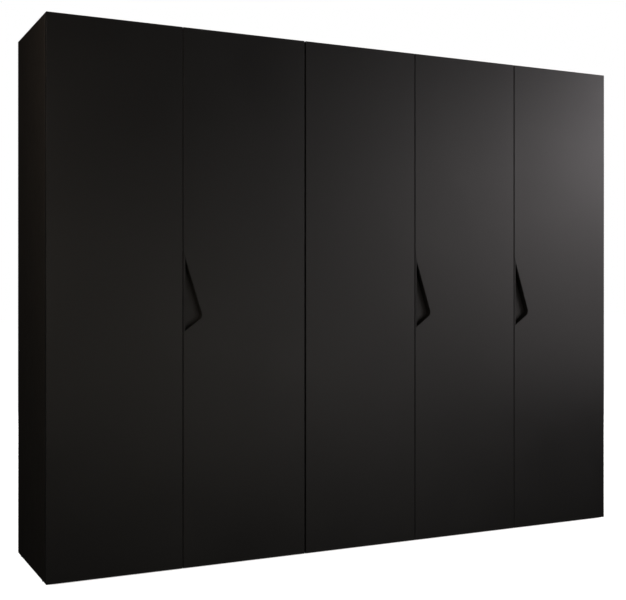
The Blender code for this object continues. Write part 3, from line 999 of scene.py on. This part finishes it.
def make_cam_covers(materials):
    """Round covers over the cam fittings, under the fixed hat shelves and under the tops."""
    black = materials["cap_plastic"]
    slot = prism("slot", rounded_rectangle(*CAM_SLOT, 3), Z_AXIS, CAM_SLOT_FLOOR, FAR)
    profile = ((CAM_RADIUS, 0.0), (CAM_RADIUS, 0.0006), (CAM_RADIUS - 0.0006, 0.0012), (0.0, 0.0014))
    cover = smooth(combine(turned("cover", profile, Z_AXIS, 28), slot, "DIFFERENCE"))
    for node in ("left_unit_hat_shelf", "right_unit_hat_shelf", "left_unit_top", "right_unit_top"):
        low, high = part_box(node)
        middle = (low.y + high.y) / 2
        reach = CAM_SPREAD * (high.y - low.y)
        items = []
        for x in (low.x + CAM_INSET, high.x - CAM_INSET):
            for y in (middle - reach, middle + reach):
                items.append((cover, at(x, y, low.z) @ facing((0, 0, -1)), black))
        add_piece(f"{node}_cam_covers", joined("cam_covers", items), "carcass")


def make_unit_bolts(materials, screw):
    """Sleeve bolts that clamp the two carcasses together, three heights front and rear."""
    steel = materials["hinge_steel"]
    profile = ((BOLT_RADIUS, 0.0), (BOLT_RADIUS, 0.0008), (BOLT_RADIUS - 0.0015, 0.0016))
    collar = turned("collar", profile, Z_AXIS)
    for node, inward in (("left_unit_inner_side", -1), ("right_unit_inner_side", 1)):
        low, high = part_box(node)
        items = []
        for share in BOLT_HEIGHTS:
            for y in (low.y + BOLT_INSET, high.y - BOLT_INSET):
                z = low.z + share * (high.z - low.z)
                place = at(end_face(node, inward), y, z) @ facing((inward, 0, 0))
                items.append((collar, place, steel))
                items.append((screw, place @ at(0, 0, BOLT_SCREW_LIFT), steel))
        add_piece(f"{node}_bolts", joined("unit_bolts", items), "carcass")


def make_rail_screws(materials, small_screw):
    """Two small screws through the flange of each rail socket."""
    steel = materials["hinge_steel"]
    for unit in ("left_unit", "right_unit"):
        for side, inward in (("left", 1), ("right", -1)):
            socket = f"{unit}_rail_socket_{side}"
            low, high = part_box(socket)
            face = end_face(socket, -inward) + inward * SOCKET_FLANGE
            items = []
            for z in (low.z + SOCKET_SCREW_INSET, high.z - SOCKET_SCREW_INSET):
                place = at(face, (low.y + high.y) / 2, z) @ facing((inward, 0, 0))
                items.append((small_screw, place, steel))
            name = f"{unit}_rail_screws_{side}"
            add_piece(name, joined("rail_screws", items), "carcass")


def make_bumpers(materials):
    """Clear silicone dots on the back of each door, near its free corners."""
    dot = turned("dot", dome(BUMPER_RADIUS, BUMPER_TALL), Z_AXIS, 20)
    heights = []
    for board in ("left_unit_bottom", "left_unit_top"):
        low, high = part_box(board)
        heights.append((low.z + high.z) / 2)
    for number, (_, toward) in HINGE_BOARDS.items():
        door = f"door_{number}"
        x = end_face(door, toward) - toward * BUMPER_INSET
        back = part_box(door)[1].y
        items = [(dot, at(x, back, z) @ facing((0, 1, 0)), materials["silicone"]) for z in heights]
        add_piece(f"door_bumpers_{number}", joined("door_bumpers", items), door)


def convex_outline(points):
    """Corners of the smallest convex outline round the points, anticlockwise."""
    ordered = sorted(set(points))

    def half(sequence):
        chain = []
        for point in sequence:
            while len(chain) > 1:
                (ax, ay), (bx, by) = chain[-2:]
                if (bx - ax) * (point[1] - ay) - (by - ay) * (point[0] - ax) > 1e-12:
                    break
                chain.pop()
            chain.append(point)
        return chain[:-1]

    return half(ordered) + half(reversed(ordered))


def grown(outline, distance):
    """A convex outline moved outwards, with its corners mitred."""
    result = []
    for index, corner in enumerate(outline):
        before = Vector(corner) - Vector(outline[index - 1])
        after = Vector(outline[(index + 1) % len(outline)]) - Vector(corner)
        first = Vector((before.y, -before.x)).normalized()
        second = Vector((after.y, -after.x)).normalized()
        both = first + second
        result.append(tuple(Vector(corner) + both * (distance * 2 / both.length_squared)))
    return result


def make_grip_bezels(materials):
    """A slim collar that closes the gap round each grip's tray on the back of the door."""
    moulding = materials["grip_moulding"]
    for number in GRIP_DOORS:
        door = f"door_{number}"
        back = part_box(door)[1].y
        end = back + BEZEL_THICK
        points = []
        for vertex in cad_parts[f"grip_shell_{number}"].data.vertices:
            if vertex.co.y > back + TRAY_BEHIND_DOOR:
                points.append((round(vertex.co.x, 5), round(vertex.co.z, 5)))
        tray = convex_outline(points)
        ring = prism("bezel", grown(tray, BEZEL_WIDTH), Y_AXIS, back + HAIR, end)
        inside = prism("inside", grown(tray, 2 * HAIR), Y_AXIS, back - FAR, end + FAR)
        ring = rounded(combine(ring, inside, "DIFFERENCE"), ROUNDING)
        mesh = joined("grip_bezel", [(ring, Matrix.Identity(4), moulding)])
        add_piece(f"grip_bezel_{number}", mesh, door)


def make_back_wedges(materials, small_screw):
    """Screwed wedges that press the back sheets into their grooves, four to a side."""
    black = materials["cap_plastic"]
    steel = materials["hinge_steel"]
    sheet_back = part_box("left_unit_back")[1].y
    outline = (
        (0.0, 0.0),
        (WEDGE_REACH, 0.0),
        (WEDGE_REACH, WEDGE_TIP),
        (WEDGE_FLAT, WEDGE_TALL),
        (0.0, WEDGE_TALL),
    )
    wedge = rounded(prism("wedge", outline, Z_AXIS, -WEDGE_HALF, WEDGE_HALF), 0.0007)
    slope = Vector((WEDGE_TALL - WEDGE_TIP, WEDGE_REACH - WEDGE_FLAT, 0)).normalized()
    boards = (
        ("left_unit_outer_side", 1),
        ("left_unit_inner_side", -1),
        ("right_unit_inner_side", 1),
        ("right_unit_outer_side", -1),
    )
    for node, inward in boards:
        low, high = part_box(node)
        items = []
        for share in WEDGE_HEIGHTS:
            z = low.z + share * (high.z - low.z)
            place = at(end_face(node, inward), sheet_back, z) @ mirrored(inward)
            items.append((wedge, place, black))
            items.append((small_screw, place @ at(*WEDGE_SCREW, 0) @ facing(slope), steel))
        add_piece(f"{node}_back_wedges", joined("back_wedges", items), "carcass")


def make_seam_strip(materials, small_screw):
    """The screwed strip over the seam of the right unit's two back sheets."""
    sheet_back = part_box("left_unit_back")[1].y
    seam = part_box("right_unit_back_wide")[1].x
    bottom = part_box("right_unit_bottom")[1].z
    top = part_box("right_unit_top")[0].z
    section = (
        (-STRIP_HALF, 0.0),
        (STRIP_HALF, 0.0),
        (STRIP_HALF, 0.0006),
        (STRIP_HALF - 0.002, STRIP_THICK),
        (0.002 - STRIP_HALF, STRIP_THICK),
        (-STRIP_HALF, 0.0006),
    )
    strip = prism("strip", section, Z_AXIS, bottom + 0.001, top - 0.001)
    items = [(strip, at(seam, sheet_back + HAIR, 0), materials["cap_plastic"])]
    for step in range(STRIP_SCREWS):
        z = bottom + (top - bottom) * (step + 0.5) / STRIP_SCREWS
        place = at(seam, sheet_back + STRIP_THICK, z) @ facing((0, 1, 0))
        items.append((small_screw, place, materials["hinge_steel"]))
    add_piece("back_seam_strip", joined("back_seam_strip", items), "carcass")


def dress_frame(materials):
    """Give every CAD node the finish of its slot."""
    finishes = (
        ("door_", "front_laminate"),
        ("grip_shell_", "grip_moulding"),
        ("hinge_cup_", "hinge_steel"),
        ("glide_", "glide_plastic"),
        ("middle_foot_", "glide_plastic"),
        ("shelf_", "shelf_laminate"),
        ("left_unit_hat_shelf", "shelf_laminate"),
        ("right_unit_hat_shelf", "shelf_laminate"),
        ("left_unit_back", "back_board"),
        ("right_unit_back", "back_board"),
        ("left_unit_rail_socket", "hinge_steel"),
        ("right_unit_rail_socket", "hinge_steel"),
        ("left_unit_rail", "rail_chrome"),
        ("right_unit_rail", "rail_chrome"),
        ("", "carcass_laminate"),
    )
    for name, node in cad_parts.items():
        slot = next(finish for start, finish in finishes if name.startswith(start))
        node.data.materials.clear()
        node.data.materials.append(materials[slot])


# ---- Studio ----


def make_floor():
    """A pale floor with a painted shadow underneath the cabinet, that throws no light up at the object.
    """
    material = bpy.data.materials.new("studio_floor")
    material.use_nodes = True
    tree = material.node_tree
    shader = tree.nodes["Principled BSDF"]
    place = tree.nodes.new("ShaderNodeTexCoord").outputs["Object"]
    cloud = remap(tree, noise(tree, place, 1.2), 0.3, 0.7)
    tree.links.new(blend_colors(tree, cloud, (0.80,) * 3, (0.84,) * 3), shader.inputs["Base Color"])
    shader.inputs["Roughness"].default_value = 0.9
    shader.inputs["Specular IOR Level"].default_value = 0.0
    shader.inputs["Emission Color"].default_value = (1.0, 1.0, 1.0, 1.0)
    low, high = cad_box
    split = add_node(tree, "ShaderNodeSeparateXYZ", {"Vector": place})
    # Painted shadow: the glow falls to almost nothing inside the cabinet's footprint
    under = None
    for axis in (X_AXIS, Y_AXIS):
        for edge, inward in ((low[axis], 1), (high[axis], -1)):
            share = remap(tree, split.outputs[axis], edge, edge + inward * PAINTED_SHADOW_FADE)
            under = share if under is None else math_node(tree, "MULTIPLY", under, share)
    tree.links.new(remap(tree, under, 0.0, 1.0, 1.0, PAINTED_SHADOW_GLOW), shader.inputs["Emission Strength"])
    bm = bmesh.new()
    bmesh.ops.create_grid(bm, x_segments=FLOOR_CELLS, y_segments=FLOOR_CELLS, size=FLOOR_REACH)
    mesh = bpy.data.meshes.new("studio_floor")
    bm.to_mesh(mesh)
    bm.free()
    mesh.materials.append(material)
    floor = loose_object("studio_floor", mesh)
    floor.visible_diffuse = False
    floor.visible_glossy = False
    floor.visible_transmission = False


def make_world():
    """White behind the object, and almost dark all round it, so that the softboxes alone shape it."""
    world = bpy.data.worlds.new("studio")
    bpy.context.scene.world = world
    world.use_nodes = True
    tree = world.node_tree
    tree.nodes.clear()
    white = add_node(tree, "ShaderNodeBackground", {"Color": (1, 1, 1, 1), "Strength": 1.0})
    dim = add_node(tree, "ShaderNodeBackground", {"Color": (1, 1, 1, 1), "Strength": DIM_WORLD})
    seen = tree.nodes.new("ShaderNodeLightPath").outputs["Is Camera Ray"]
    mixed = add_node(tree, "ShaderNodeMixShader", {0: seen, 1: dim.outputs[0], 2: white.outputs[0]})
    add_node(tree, "ShaderNodeOutputWorld", {"Surface": mixed.outputs[0]})


def make_lights():
    """Square softboxes: the key high on the right, weak fills round the front, strong ones at the rear.

    The two small ones near the left side warm its front edge. The cross-polarised one at the front lights
    the inside of an open cabinet without a sheen on the fronts.
    """
    for name, place, watts, size, color in SOFTBOXES:
        light = bpy.data.lights.new(name, "AREA")
        light.shape = "SQUARE"
        light.size = size
        light.energy = watts
        light.color = color
        softbox = loose_object(name, light)
        softbox.location = place
        softbox.rotation_euler = (Vector(place) - LIGHT_TARGET).to_track_quat("Z", "Y").to_euler()
        softbox.visible_camera = False
        softbox.visible_glossy = name != "polarised_front"


def make_camera():
    data = bpy.data.cameras.new("camera")
    data.lens = CAMERA_LENS
    data.shift_y = CAMERA_SHIFT
    data.clip_end = 100.0
    camera = loose_object("camera", data)
    camera.location = CAMERA_PLACE
    camera.rotation_euler = (math.pi / 2, 0.0, -CAMERA_YAW)
    bpy.context.scene.camera = camera


def main():
    bpy.context.scene.view_settings.view_transform = "Standard"
    materials = make_materials()
    dress_frame(materials)
    screw = screw_mesh(SCREW_RADIUS, SCREW_TALL)
    small_screw = screw_mesh(SMALL_SCREW_RADIUS, SMALL_SCREW_TALL)
    make_hinges(materials, screw)
    make_shelf_pins(materials)
    make_cam_covers(materials)
    make_unit_bolts(materials, screw)
    make_rail_screws(materials, small_screw)
    make_bumpers(materials)
    make_grip_bezels(materials)
    make_back_wedges(materials, small_screw)
    make_seam_strip(materials, small_screw)
    make_floor()
    make_world()
    make_lights()
    make_camera()


main()
